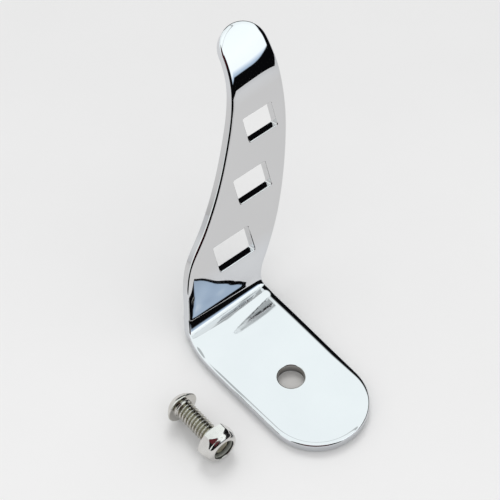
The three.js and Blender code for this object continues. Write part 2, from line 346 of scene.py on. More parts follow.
def strip_outline():
    """The flat strip's outline, counterclockwise: evenly spaced (x, along) points and outward normals."""
    sides = np.linspace(ROUND_START, TIP_CENTRE, 1200)
    quarter = np.linspace(0, math.pi / 2, 200)
    tip = np.linspace(0, math.pi, 300)
    x = np.concatenate([
        FLANGE_END_HALF_WIDTH * np.sin(quarter[:-1]),
        side_x(1, sides)[:-1],
        TIP_X + TIP_RADIUS * np.cos(tip[:-1]),
        side_x(-1, sides[::-1])[:-1],
        -FLANGE_END_HALF_WIDTH * np.cos(quarter[:-1]),
    ])
    along = np.concatenate([
        ROUND_START - FLANGE_END_DEPTH * np.cos(quarter[:-1]),
        sides[:-1],
        TIP_CENTRE + TIP_RADIUS * np.sin(tip[:-1]),
        sides[:0:-1],
        ROUND_START - FLANGE_END_DEPTH * np.sin(quarter[:-1]),
    ])
    dense = np.stack([x, along], 1)
    closed = np.vstack([dense, dense[:1]])
    travel = np.concatenate([[0], np.cumsum(np.linalg.norm(np.diff(closed, axis=0), axis=1))])
    count = int(round(travel[-1] / OUTLINE_STEP))
    even = np.linspace(0, travel[-1], count, endpoint=False)
    points = np.stack([np.interp(even, travel, closed[:, i]) for i in (0, 1)], 1)
    return smoothed(points), outward(smoothed(points))


def smoothed(points):
    """A closed line with its small kinks blurred away."""
    reach = int(4 * OUTLINE_SMOOTHING / OUTLINE_STEP)
    shifts = np.arange(-reach, reach + 1)
    weights = np.exp(-0.5 * (shifts * OUTLINE_STEP / OUTLINE_SMOOTHING) ** 2)
    total = sum(w * np.roll(points, s, axis=0) for s, w in zip(shifts, weights))
    return total / weights.sum()


def outward(points):
    """The unit normals on the right-hand side of a closed line."""
    step = np.roll(points, -1, axis=0) - np.roll(points, 1, axis=0)
    normal = np.stack([step[:, 1], -step[:, 0]], 1)
    return normal / np.linalg.norm(normal, axis=1, keepdims=True)


def hole_outline():
    """The flange hole, clockwise, with normals toward its centre."""
    angle = np.linspace(0, -2 * math.pi, 112, endpoint=False)
    ring = np.stack([np.cos(angle), np.sin(angle)], 1)
    return HOLE_RADIUS * ring + [0, -HOLE_TO_BEND], -ring


def window_outline(x, along, width, height):
    """A window, clockwise, with round corners and normals into the opening."""
    points, normals = [], []
    half = np.array([width, height]) / 2 - WINDOW_CORNER
    for corner, (sx, sy) in enumerate([(1, 1), (1, -1), (-1, -1), (-1, 1)]):
        for angle in np.radians(np.linspace(90, 0, 9) - 90 * corner):
            ray = np.array([math.cos(angle), math.sin(angle)])
            points.append(half * [sx, sy] + WINDOW_CORNER * ray)
            normals.append(-ray)
        following = [(1, -1), (-1, -1), (-1, 1), (1, 1)][corner]
        start, end = points[-1], half * following - WINDOW_CORNER * normals[-1]
        for share in np.linspace(0, 1, 17)[1:-1]:
            points.append(start + share * (end - start))
            normals.append(normals[-1])
    return np.array(points) + [x, along], np.array(normals)


def edge_profile(roll_radius, roll_angle, small_round):
    """The rounded edge from the front face to the back one, as (inset, depth, normal's tilt) rows.

    The roll-off's radius can be one number or one for each point of the outline.
    """
    small_reach = small_round * (1 - math.sin(roll_angle))
    small_drop = small_round * math.cos(roll_angle)
    roll_reach = roll_radius * math.sin(roll_angle)
    roll_drop = roll_radius * (1 - math.cos(roll_angle))
    front = []
    if roll_angle > 0:
        for tilt in np.linspace(0, roll_angle, 6)[:-1]:
            inset = small_reach + roll_reach - roll_radius * math.sin(tilt)
            front.append((inset, roll_radius * (1 - math.cos(tilt)), tilt))
    for tilt in np.linspace(roll_angle, math.pi / 2, 8):
        drop = roll_drop + small_drop - small_round * math.cos(tilt)
        front.append((small_round * (1 - math.sin(tilt)), drop, tilt))
    back = [(inset, THICKNESS - depth, math.pi - tilt) for inset, depth, tilt in reversed(front)]
    return front + back


def roll_radius(outline):
    """The roll-off's radius at each point of the outline."""
    x, along = outline.T
    wide = np.interp(along, WIDE_ROLL_SPAN, FADE) * (x > 0)
    wide += np.interp(along, LEFT_ROLL_SPAN, FADE) * (x < 0)
    tight = np.interp(along, TIGHT_ROLL_SPAN, FADE) * (x < 0)
    radius = ROLL_RADIUS + (WIDE_ROLL_RADIUS - ROLL_RADIUS) * wide
    return radius - (ROLL_RADIUS - TIGHT_ROLL_RADIUS) * tight


def bent(x, along, depth):
    """Points of the bent strip, with the unit vectors along the strip and out of its front face."""
    x, along, depth = (np.asarray(v, float) for v in (x, along, depth))
    easy_radius = np.interp(x, BEND_SIDES, EASY_RADII)
    last_radius = np.interp(x, BEND_SIDES, LAST_RADII)
    bend_start = np.interp(x, BEND_SIDES, BEND_STARTS)
    easy_start = bend_start + TIGHT_RADIUS * TIGHT_ANGLE
    last_start = easy_start + easy_radius * EASY_ANGLE
    tight = np.clip((along - bend_start) / TIGHT_RADIUS, 0, TIGHT_ANGLE)
    most = tight + np.clip((along - easy_start) / easy_radius, 0, EASY_ANGLE)
    turn = most + np.clip((along - last_start) / last_radius, 0, LAST_ANGLE)
    curl = np.clip((along - CURL_START) / CURL_RADIUS, 0, None)
    bend_end = last_start + last_radius * LAST_ANGLE
    straight = np.clip(along, bend_end, CURL_START) - bend_end
    angle = turn - curl
    y = np.minimum(along, bend_start) + straight * math.cos(BEND_ANGLE)
    z = THICKNESS + straight * math.sin(BEND_ANGLE)
    y = y + TIGHT_RADIUS * np.sin(tight) + easy_radius * (np.sin(most) - np.sin(tight))
    z = z + TIGHT_RADIUS * (1 - np.cos(tight)) + easy_radius * (np.cos(tight) - np.cos(most))
    y = y + last_radius * (np.sin(turn) - np.sin(most))
    z = z + last_radius * (np.cos(most) - np.cos(turn))
    y = y + CURL_RADIUS * (np.sin(turn) - np.sin(angle)) * (curl > 0)
    z = z + CURL_RADIUS * (np.cos(angle) - np.cos(turn)) * (curl > 0)
    zero = np.zeros_like(angle)
    tangent = np.stack([zero, np.cos(angle), np.sin(angle)], -1)
    front = np.stack([zero, -np.sin(angle), np.cos(angle)], -1)
    share, step = 1 - depth / THICKNESS, SLOPE_STEP
    slope_x = share * (relief(x + step, along) - relief(x - step, along)) / (2 * step)
    slope_along = share * (relief(x, along + step) - relief(x, along - step)) / (2 * step)
    sunk = depth + share * relief(x, along)
    place = np.stack([x, y + ORIGIN_TO_BEND, z], -1) - sunk[..., None] * front
    front = front + slope_along[..., None] * tangent
    front[..., 0] += slope_x
    return place, tangent, front / np.linalg.norm(front, axis=-1, keepdims=True)


def eased(value):
    """A smooth rise from 0 at 0 to 1 at 1."""
    value = np.clip(value, 0, 1)
    return value * value * (3 - 2 * value)


def fade(value, start, length):
    """A smooth rise from 0 at the start to 1 a length further on."""
    return eased((value - start) / length)


def relief(x, along):
    """How far the front face has sunk below a plain bent strip: down for the dome at the tip, up for
    the swell by the bend and the bulge at the blade's foot, and both ways for the waves there.
    """
    middle = (side_x(-1, along) + side_x(1, along)) / 2
    dome = CROWN * ((x - middle) / TIP_RADIUS) ** 2 * fade(along, CROWN_START, CROWN_GROWTH)
    dome = dome * np.where(x < middle, LEFT_CROWN, 1)
    reach = np.interp(x, SWELL_SIDES, SWELL_REACH)
    swell = SWELL * eased(1 + along / reach) * (1 - fade(along, BEND_STARTS[1], SWELL_END))
    foot = fade(along, BEND_END, WAVE_RISE) * (1 - fade(along, *WAVE_FALL))
    waves = WAVE * foot * np.sin(WAVE_ACROSS * x + WAVE_OFFSET) * np.sin(WAVE_ALONG * along)
    lobe = LOBE * fade(-x, *LOBE_SIDE) * fade(along, *LOBE_RISE) * (1 - fade(along, *LOBE_FALL))
    return dome - swell + waves - lobe


def face_grid(loops):
    """Points inside the strip's flat face, in rows that are close together where the strip bends."""
    rows = np.concatenate([
        np.arange(-FLANGE_LENGTH + 3, FINE_FLANGE_START, COARSE_ROW),
        np.arange(FINE_FLANGE_START, -0.1, FINE_ROW),
        np.linspace(0, BEND_END, BEND_ROWS),
        np.arange(BEND_END + FOOT_ROW, FOOT_END, FOOT_ROW),
        np.arange(FOOT_END, CURL_START, COARSE_ROW),
        np.arange(CURL_START, TIP_CENTRE + TIP_RADIUS - 2.5, FINE_ROW),
    ])
    points = np.array([(x, s) for s in rows for x in np.arange(*GRID_SIDES, COLUMN_STEP)])
    return points[inside(points, loops, margin=GRID_MARGIN)]


def inside(points, loops, margin=0):
    """Which points are in the face that the closed lines bound, and not within the margin of its edges."""
    a = np.concatenate(loops)
    b = np.concatenate([np.roll(loop, -1, axis=0) for loop in loops])
    keep = []
    for x, y in points:
        crossed = (a[:, 1] > y) != (b[:, 1] > y)
        p, q = a[crossed], b[crossed]
        at = p[:, 0] + (y - p[:, 1]) / (q[:, 1] - p[:, 1]) * (q[:, 0] - p[:, 0])
        clear = margin == 0 or np.hypot(a[:, 0] - x, a[:, 1] - y).min() > margin
        keep.append((at > x).sum() % 2 == 1 and clear)
    return np.array(keep)


def bracket():
    """The whole strip: two faces, joined by the rounded edges of its outline, its hole and its windows."""
    outline, outline_normals = strip_outline()
    outer = edge_profile(roll_radius(outline)[:, None], ROLL_ANGLE, EDGE_ROUND)
    opening = edge_profile(0, 0, OPENING_ROUND)
    loops = [(outline, outline_normals, outer), (*hole_outline(), opening)]
    loops += [(*window_outline(*window), opening) for window in WINDOWS]
    flat, depths, tilts, sideways, faces = [], [], [], [], []
    front_rings, back_rings = [], []
    count = 0
    for points, normals, profile in loops:
        rings = []
        for inset, depth, tilt in profile:
            flat.append(points - inset * normals)
            depths.append(np.broadcast_to(np.ravel(depth), len(points)))
            tilts.append(np.full(len(points), tilt))
            sideways.append(normals)
            rings.append(np.arange(count, count + len(points)))
            count += len(points)
        for upper, lower in zip(rings, rings[1:]):
            faces += ring_faces(upper, lower, flip=True)
        front_rings.append(rings[0])
        back_rings.append(rings[-1])
    grid = face_grid([points - profile[0][0] * normals for points, normals, profile in loops])
    numbers = {"front": np.arange(count, count + len(grid))}
    numbers["back"] = numbers["front"] + len(grid)
    for depth, tilt in ((0, 0), (THICKNESS, math.pi)):
        flat.append(grid)
        depths.append(np.full(len(grid), depth))
        tilts.append(np.full(len(grid), tilt))
        sideways.append(np.zeros_like(grid))
    flat = np.concatenate(flat)
    for side, rings in (("front", front_rings), ("back", back_rings)):
        used = np.concatenate([*rings, numbers[side]])
        faces += fill(flat, rings, used, flip=side == "back")
    tilt, sideways = np.concatenate(tilts)[:, None], np.concatenate(sideways)
    place, tangent, front = bent(flat[:, 0], flat[:, 1], np.concatenate(depths))
    across = sideways[:, :1] * np.array([[1.0, 0, 0]]) + sideways[:, 1:] * tangent
    return mesh_object("bracket_strip", place, faces, np.sin(tilt) * across + np.cos(tilt) * front)


def fill(flat, rings, used, flip):
    """Triangles of a flat face between its rings, through every used point."""
    local = {int(n): i for i, n in enumerate(used)}
    pairs = [pair for ring in rings for pair in zip(ring, np.roll(ring, -1))]
    edges = [(local[int(a)], local[int(b)]) for a, b in pairs]
    result = delaunay_2d_cdt(flat[used].tolist(), edges, [], 0, 1e-6, True)
    source = np.array([used[ids[0]] for ids in result[3]])
    triangles = source[np.array(result[2])]
    triangles = triangles[inside(flat[triangles].mean(1), [flat[ring] for ring in rings])]
    return (triangles[:, ::-1] if flip else triangles).tolist()


# The fastener -----------------------------------------------------------------------------------


def beside(points):
    """Points about the fastener's own axis, put where it lies: its +Z becomes +Y."""
    x, y, z = np.moveaxis(points, -1, 0)
    return np.stack([x + FASTENER_X, z + HEAD_SEAT_Y, AXIS_HEIGHT - y], -1)


def turned_piece(name, angles, rows, joined=False):
    """A surface about the fastener's axis from rows of (radius, height).

    Each is a number or one value for each angle. A joined surface's last row meets its first, and any
    other is capped at both ends.
    """
    grid = []
    for radius, height in rows:
        radius, height = np.broadcast_arrays(radius, height, angles)[:2]
        grid.append(np.stack([radius * np.cos(angles), radius * np.sin(angles), height], 1))
    grid = np.array(grid)
    count = len(angles)
    rings = [np.arange(i * count, (i + 1) * count) for i in range(len(rows))]
    faces = []
    for lower, upper in zip(rings, rings[1:] + rings[:1] if joined else rings[1:]):
        faces += ring_faces(upper, lower, flip=True)
    if not joined:
        faces.append(tuple(int(i) for i in rings[0][::-1]))
        faces.append(tuple(int(i) for i in rings[-1]))
    return mesh_object(name, beside(grid.reshape(-1, 3)), faces)


def thread_radius(angles, height):
    """The radius of the 60 degree thread at a height above the head's seat."""
    bottom = -BOLT_LENGTH - 1.5 * PITCH
    along = ((height - bottom) / PITCH - angles / (2 * math.pi)) % 1 * PITCH
    crest_end = THREAD_FLANK + PITCH / 8
    return np.interp(
        along,
        [0, THREAD_FLANK, crest_end, crest_end + THREAD_FLANK, PITCH],
        [THREAD_ROOT_RADIUS, THREAD_RADIUS, THREAD_RADIUS, THREAD_ROOT_RADIUS, THREAD_ROOT_RADIUS],
    )


def hexagon(across_flat_radius, angles):
    """The radius of a hexagon with corners at 0, 60, ... degrees."""
    return across_flat_radius / np.cos(angles % (math.pi / 3) - math.pi / 6)


def bolt():
    """The threaded shank, its lead-in, the button head and the hex socket, as one turned surface."""
    angles = np.radians(np.arange(0, 360, 3.75))
    tip = -BOLT_LENGTH + 0.01
    lead_radius = THREAD_ROOT_RADIUS - 0.02
    rows = [(0.5, tip + 0.12), (1.4, tip + 0.05), (2.1, tip), (2.3, tip), (lead_radius, tip + 0.02)]
    for height in np.arange(tip + 0.07, -0.32, PITCH / 20):
        thread = thread_radius(angles, height)
        lead = lead_radius + (height - tip) * 0.95
        run_out = min(THREAD_RADIUS, THREAD_ROOT_RADIUS + height + PLAIN_SHANK)
        rows.append((np.maximum(np.minimum(thread, lead), run_out), height))
    for turn in np.linspace(0, math.pi / 2, 6):
        radius = THREAD_RADIUS + HEAD_FILLET * (1 - math.cos(turn))
        rows.append((radius, -HEAD_FILLET * (1 - math.sin(turn))))
    rows.append((HEAD_RADIUS - HEAD_RIM_ROUND - 0.1, 0))
    for turn in np.linspace(0, math.pi / 2, 6):
        radius = HEAD_RADIUS - HEAD_RIM_ROUND * (1 - math.sin(turn))
        rows.append((radius, HEAD_RIM_ROUND * (1 - math.cos(turn))))
    spread = HEAD_RADIUS**2 - HEAD_FLAT_RADIUS**2
    centre = (HEAD_HEIGHT + HEAD_RIM - spread / (HEAD_HEIGHT - HEAD_RIM)) / 2
    ball = math.hypot(HEAD_RADIUS, HEAD_RIM - centre)
    rows.append((HEAD_RADIUS, HEAD_RIM - 0.05))
    for radius in HEAD_RADIUS - (HEAD_RADIUS - HEAD_FLAT_RADIUS) * np.linspace(0.004, 1, 22):
        rows.append((radius, centre + math.sqrt(ball**2 - radius**2)))
    socket = hexagon(SOCKET_ACROSS_FLATS / 2, angles)
    rows.append((HEAD_FLAT_RADIUS - 0.08, HEAD_HEIGHT))
    rows.append((socket + 0.16, HEAD_HEIGHT))
    rows.append((socket + 0.12, HEAD_HEIGHT - 0.03))
    rows.append((socket, HEAD_HEIGHT - 0.2))
    rows.append((socket - 0.01, HEAD_HEIGHT - 0.3))
    bottom = HEAD_HEIGHT - SOCKET_DEPTH
    rows += [(socket - 0.02, bottom + 0.05), (socket - 0.06, bottom), (0.3, bottom - 0.6)]
    piece = turned_piece("bolt_body", angles, rows)
    piece.data.set_sharp_from_angle(angle=math.radians(50))
    return piece


def nut_angles():
    """Angles round the nut, close together beside each corner of the hexagon."""
    half = [0, 0.6, 1.3, 2.4, 5, 9, 14, 19, 24.5]
    sector = half + [30] + [60 - a for a in half[:0:-1]]
    return np.radians([60 * side + a for side in range(6) for a in sector])


def nut_hexagon(angles):
    """The radius of the nut's hexagon, with its corners cut a little."""
    return np.minimum(hexagon(NUT_FLAT, angles), NUT_CORNER)


def cone_start(hexa):
    """The height at which the nut's cone starts where the hexagon has this radius."""
    return CONE_START + CONE_RISE * (hexa - NUT_FLAT) / (NUT_CORNER - NUT_FLAT)


def nut():
    """The nut's steel: a hexagon with a chamfered seat, a cone and a collar rolled over the ring."""
    angles = nut_angles()
    hexa = nut_hexagon(angles)
    chamfer = -0.5 * (hexa - (NUT_FLAT - 0.15))
    cone = cone_start(hexa)
    rows = [(NUT_BORE, -3.5), (NUT_BORE, -0.6), (NUT_BORE + 0.02, -0.48)]
    rows += [(NUT_BORE + 0.48, -0.02), (NUT_BORE + 0.53, 0)]
    rows += [(NUT_FLAT - 0.45, 0), (NUT_FLAT - 0.2, -0.005), (NUT_FLAT - 0.12, -0.03)]
    rows += [(hexa - 0.06, chamfer + 0.02), (hexa, chamfer - 0.05), (hexa, chamfer - 0.15)]
    rows += [(hexa, (chamfer + cone) / 2), (hexa, cone + 0.16), (hexa, cone + 0.06)]
    for share in (0.04, 0.1, 0.2, 0.4, 0.6, 0.8, 0.93, 1):
        rows.append((hexa + (CONE_END[0] - hexa) * share, cone + (CONE_END[1] - cone) * share))
    rows += COLLAR
    for turn in np.linspace(0, math.pi / 2, 5):
        radius = NUT_LIP_RADIUS + LIP_ROUND * (1 - math.sin(turn))
        rows.append((radius, COLLAR_HEIGHTS[0] + LIP_ROUND * (1 - math.cos(turn))))
    rows += [(NUT_LIP_RADIUS, -5.6), (NUT_LIP_RADIUS + 0.06, -5.5)]
    rows += [(4.5, -5.45), (4.5, -3.65), (NUT_BORE, -3.6)]
    rows = [(radius, z_at(height)) for radius, height in reversed(rows)]
    piece = turned_piece("nut_body", angles, rows, joined=True)
    piece.data.set_sharp_from_angle(angle=math.radians(24))
    turn_smooth(piece.data)
    return piece


def turn_smooth(mesh):
    """Gives the nut's cone and collar the even normals of a turned surface."""
    place = np.array([v.co for v in mesh.vertices]) / MM - [FASTENER_X, HEAD_SEAT_Y, AXIS_HEIGHT]
    angle = np.arctan2(-place[:, 2], place[:, 0]) % (2 * math.pi)
    radius, height = np.hypot(place[:, 0], place[:, 2]), place[:, 1] + NUT_SEAT
    start = cone_start(nut_hexagon(angle))
    turned = (height < start + 0.02) & (radius > 4.15) & (height < -2.5)
    tilt = np.radians(np.interp(height, COLLAR_HEIGHTS, COLLAR_TILTS))
    even = np.stack([np.cos(tilt) * np.cos(angle), -np.sin(tilt), -np.cos(tilt) * np.sin(angle)], 1)
    normals = np.array([n.vector for n in mesh.corner_normals])
    for face in mesh.polygons:
        if all(turned[v] for v in face.vertices):
            for corner, v in zip(face.loop_indices, face.vertices):
                normals[corner] = even[v]
    mesh.normals_split_custom_set(normals.tolist())


def z_at(height):
    """A height above the nut's seat as a height above the bolt head's seat."""
    return np.asarray(height) - NUT_SEAT


def nylon_ring():
    """The locking ring: a band whose bore has been pressed into a shallow waist by the bolt."""
    angles = np.radians(np.arange(0, 360, 4))
    top, bottom, inner, outer = RING_TOP, RING_BOTTOM, RING_INNER, RING_OUTER
    rows = [(outer, top - 0.1), (outer - 0.1, top), (inner + 0.25, top), (inner + 0.08, top - 0.1)]
    rows += [(inner, top - 0.4), (inner, bottom + 0.4)]
    rows += [(inner + 0.08, bottom + 0.1), (inner + 0.25, bottom)]
    rows += [(outer - 0.1, bottom), (outer, bottom + 0.1)]
    rows = [(radius, z_at(height)) for radius, height in rows]
    return turned_piece("nylon_ring", angles, rows, joined=True)


# Materials --------------------------------------------------------------------------------------


def new_material(name, color, metallic, roughness):
    """A material with a Principled BSDF of these values, its node tree and that shader."""
    material = bpy.data.materials.new(name)
    material.use_nodes = True
    tree = material.node_tree
    shader = next(n for n in tree.nodes if n.type == "BSDF_PRINCIPLED")
    shader.inputs["Base Color"].default_value = (*color, 1)
    shader.inputs["Metallic"].default_value = metallic
    shader.inputs["Roughness"].default_value = roughness
    return material, tree, shader


def noise(tree, scale, detail=4, stretch=(1, 1, 1)):
    """The value of a noise texture fixed to the piece."""
    place = tree.nodes.new("ShaderNodeTexCoord")
    mapping = tree.nodes.new("ShaderNodeMapping")
    mapping.inputs["Scale"].default_value = stretch
    texture = tree.nodes.new("ShaderNodeTexNoise")
    texture.inputs["Scale"].default_value = scale
    texture.inputs["Detail"].default_value = detail
    tree.links.new(place.outputs["Object"], mapping.inputs["Vector"])
    tree.links.new(mapping.outputs["Vector"], texture.inputs["Vector"])
    return texture.outputs["Fac"]


def ranged(tree, value, low, high, start=0.3, end=0.7):
    """A value stretched from its usual range to low..high."""
    node = tree.nodes.new("ShaderNodeMapRange")
    node.inputs["From Min"].default_value = start
    node.inputs["From Max"].default_value = end
    node.inputs["To Min"].default_value = low
    node.inputs["To Max"].default_value = high
    tree.links.new(value, node.inputs["Value"])
    return node.outputs["Result"]


def feed(tree, socket, value):
    """Gives an input a number, a colour or another node's output."""
    if isinstance(value, bpy.types.NodeSocket):
        tree.links.new(value, socket)
    else:
        socket.default_value = (*value, 1) if isinstance(value, tuple) else value


def mixed(tree, factor, under, over):
    """One colour with another over it; each is fixed or another node's output."""
    mix = tree.nodes.new("ShaderNodeMix")
    mix.data_type = "RGBA"
    feed(tree, mix.inputs["Factor"], factor)
    feed(tree, mix.inputs["A"], under)
    feed(tree, mix.inputs["B"], over)
    return mix.outputs["Result"]


def math_node(tree, operation, *values):
    """A Math node; each value is a number or another node's output."""
    node = tree.nodes.new("ShaderNodeMath")
    node.operation = operation
    for socket, value in zip(node.inputs, values):
        feed(tree, socket, value)
    return node.outputs["Value"]


def smooth_step(tree, value, start, end, low=0.0, high=1.0):
    """A smooth change from low, at the start, to high, at the end."""
    node = tree.nodes.new("ShaderNodeMapRange")
    node.interpolation_type = "SMOOTHSTEP"
    feed(tree, node.inputs["Value"], value)
    feed(tree, node.inputs["From Min"], start)
    feed(tree, node.inputs["From Max"], end)
    feed(tree, node.inputs["To Min"], low)
    feed(tree, node.inputs["To Max"], high)
    return node.outputs["Result"]


def from_axis(tree, point, across):
    """The distance, in metres, from an axis through a point in millimetres.

    The axis runs where across is 0, so with only a Z in it this is the height above or below the point.
    """
    place = tree.nodes.new("ShaderNodeTexCoord")
    offset = tree.nodes.new("ShaderNodeVectorMath")
    offset.operation = "SUBTRACT"
    offset.inputs[1].default_value = [v * MM for v in point]
    flat = tree.nodes.new("ShaderNodeVectorMath")
    flat.operation = "MULTIPLY"
    flat.inputs[1].default_value = across
    length = tree.nodes.new("ShaderNodeVectorMath")
    length.operation = "LENGTH"
    tree.links.new(place.outputs["Object"], offset.inputs[0])
    tree.links.new(offset.outputs["Vector"], flat.inputs[0])
    tree.links.new(flat.outputs["Vector"], length.inputs[0])
    return length.outputs["Value"]


def bumped(tree, value, distance):
    """A normal from a height of value times distance, in metres."""
    bump = tree.nodes.new("ShaderNodeBump")
    bump.inputs["Distance"].default_value = distance
    tree.links.new(value, bump.inputs["Height"])
    return bump.outputs["Normal"]


def slow_tint(tree, scale, tints):
    """A colour that drifts between two others over the piece."""
    return mixed(tree, ranged(tree, noise(tree, scale), 0, 1), *tints)


def chrome():
    """Mirror chrome: nearly flat, with slow polishing waves, a breath of haze and a few fine wipes.

    The blade's middle is a little greyer, and the hole's bore is darkened by painted shade.
    """
    material, tree, shader = new_material("chrome_plate", (0.70, 0.715, 0.74), 1, 0.03)
    haze = ranged(tree, noise(tree, 90, 5), 0.012, 0.04)
    wipes = ranged(tree, noise(tree, 300, 3, (1, 0.06, 0.06)), 0, 0.03, 0.6, 0.75)
    tree.links.new(math_node(tree, "ADD", haze, wipes), shader.inputs["Roughness"])
    height = from_axis(tree, (0, 0, 0), (0, 0, 1))
    foot_start, foot_end, top_start, top_end = (h * MM for h in BLADE_GREY_SPAN)
    above = ranged(tree, height, 0, 1, foot_start, foot_end)
    below = ranged(tree, height, 1, 0, top_start, top_end)
    blade = math_node(tree, "MULTIPLY", above, below)
    color = mixed(tree, blade, slow_tint(tree, 60, CHROME_TINTS), BLADE_GREY)
    # Painted shade in the hole's bore: near black at its bottom, paler up its wall, with the axis shifted so
    # the near side of the rim darkens as a painted shadow.
    shift_x, shift_y = BORE_SHADE_SHIFT
    radius = from_axis(tree, (shift_x, ORIGIN_TO_BEND - HOLE_TO_BEND + shift_y, 0), (1, 1, 0))
    bore = ranged(tree, radius, 1, 0, *((HOLE_RADIUS + edge) * MM for edge in BORE_SHADE_EDGE))
    up = ranged(tree, height, 0, 1, *(h * MM for h in BORE_SHADE_HEIGHTS))
    color = mixed(tree, bore, color, mixed(tree, up, *BORE_SHADE_TINTS))
    tree.links.new(color, shader.inputs["Base Color"])
    tree.links.new(bumped(tree, noise(tree, 70, 1), 0.000016), shader.inputs["Normal"])
    return material


def bolt_steel():
    """Bright stainless with a warm tint, darkened in the thread's roots by painted shade."""
    material, tree, shader = new_material("bolt_steel", (0.62, 0.61, 0.54), 1, 0.2)
    tree.links.new(ranged(tree, noise(tree, 500, 6), 0.09, 0.2), shader.inputs["Roughness"])
    # Painted shade: the thread darkens from its crests down into its roots.
    radius = from_axis(tree, (FASTENER_X, 0, AXIS_HEIGHT), (1, 0, 1))
    root, crest = (THREAD_ROOT_RADIUS + 0.05) * MM, (THREAD_RADIUS - 0.15) * MM
    root_shade = ranged(tree, radius, 1, 0, root, crest)
    color = mixed(tree, root_shade, slow_tint(tree, 350, BOLT_TINTS), THREAD_ROOT_SHADE)
    tree.links.new(color, shader.inputs["Base Color"])
    tree.links.new(bumped(tree, noise(tree, 900, 3), 0.000008), shader.inputs["Normal"])
    return material


def nut_steel():
    """Stainless turned on a lathe, brighter than the bolt."""
    material, tree, shader = new_material("nut_steel", (0.66, 0.66, 0.62), 1, 0.13)
    turning = noise(tree, 400, 2, (0.4, 6, 0.4))
    tree.links.new(ranged(tree, noise(tree, 450, 5), 0.08, 0.2), shader.inputs["Roughness"])
    tree.links.new(slow_tint(tree, 300, NUT_TINTS), shader.inputs["Base Color"])
    tree.links.new(bumped(tree, turning, 0.000006), shader.inputs["Normal"])
    return material


def nylon():
    """Grey nylon, a little waxy, with a painted shadow, nearly black, at its outer edge beside the collar's
    lip.
    """
    material, tree, shader = new_material("nylon", (0.27, 0.28, 0.25), 0, 0.45)
    shader.inputs["Subsurface Weight"].default_value = 0.15
    shader.inputs["Subsurface Radius"].default_value = (0.001, 0.001, 0.0008)
    tree.links.new(ranged(tree, noise(tree, 600), 0.38, 0.55), shader.inputs["Roughness"])
    # A painted shadow, nearly black, on the ring's outer edge beside the collar's lip.
    radius = from_axis(tree, (FASTENER_X, 0, AXIS_HEIGHT), (1, 0, 1))
    gap_shadow = ranged(tree, radius, 0, 1, *((NUT_LIP_RADIUS - edge) * MM for edge in NYLON_GAP_SHADOW_EDGE))
    color = mixed(tree, gap_shadow, slow_tint(tree, 400, NYLON_TINTS), NYLON_GAP_SHADOW)
    tree.links.new(color, shader.inputs["Base Color"])
    tree.links.new(bumped(tree, noise(tree, 1200), 0.00001), shader.inputs["Normal"])
    return material


# The studio -------------------------------------------------------------------------------------


def floor_material():
    """Matt, pale and faintly mottled, with painted light toward the viewer and a painted shadow under the
    flange's hole.
    """
    material, tree, shader = new_material("floor", (0.8, 0.8, 0.8), 0, 0.9)
    shader.inputs["Specular IOR Level"].default_value = 0.0
    place = tree.nodes.new("ShaderNodeTexCoord")
    ahead = tree.nodes.new("ShaderNodeVectorMath")
    ahead.operation = "DOT_PRODUCT"
    ahead.inputs[1].default_value = FLOOR_AHEAD
    tree.links.new(place.outputs["Object"], ahead.inputs[0])
    # Painted light: the floor's colour brightens toward the viewer.
    painted_light = ranged(tree, ahead.outputs["Value"], 0.95, 0, *FLOOR_LIGHT_SPAN)
    mottle = ranged(tree, noise(tree, 14, 5), 0, 0.1)
    color = mixed(tree, math_node(tree, "ADD", painted_light, mottle), *FLOOR_TINTS)
    # A painted shadow on the floor under the flange's hole.
    radius = from_axis(tree, (0, ORIGIN_TO_BEND - HOLE_TO_BEND, 0), (1, 1, 0))
    edges = ((HOLE_RADIUS + edge) * MM for edge in HOLE_SHADOW_EDGE)
    color = mixed(tree, ranged(tree, radius, HOLE_SHADOW_STRENGTH, 0, *edges), color, HOLE_SHADOW)
    tree.links.new(color, shader.inputs["Base Color"])
    return material


def floor():
    """A pale floor, a hair below the object's underside."""
    signs = ((-1, -1), (1, -1), (1, 1), (-1, 1))
    corners = [(sx * FLOOR_REACH, sy * FLOOR_REACH, FLOOR_LEVEL) for sx, sy in signs]
    sheet = mesh_object("floor", corners, [(0, 1, 2, 3)])
    sheet.data.materials.append(floor_material())


def lights():
    """One large soft panel overhead, toward +X and +Y, left out of reflections."""
    data = bpy.data.lights.new("panel", "AREA")
    data.shape = "DISK"
    data.size = PANEL_SIZE
    data.energy = PANEL_POWER
    lamp = bpy.data.objects.new("panel", data)
    lamp.location = PANEL_PLACE
    lamp.rotation_euler = (-lamp.location).to_track_quat("-Z", "Y").to_euler()
    lamp.visible_glossy = False
    bpy.context.scene.collection.objects.link(lamp)


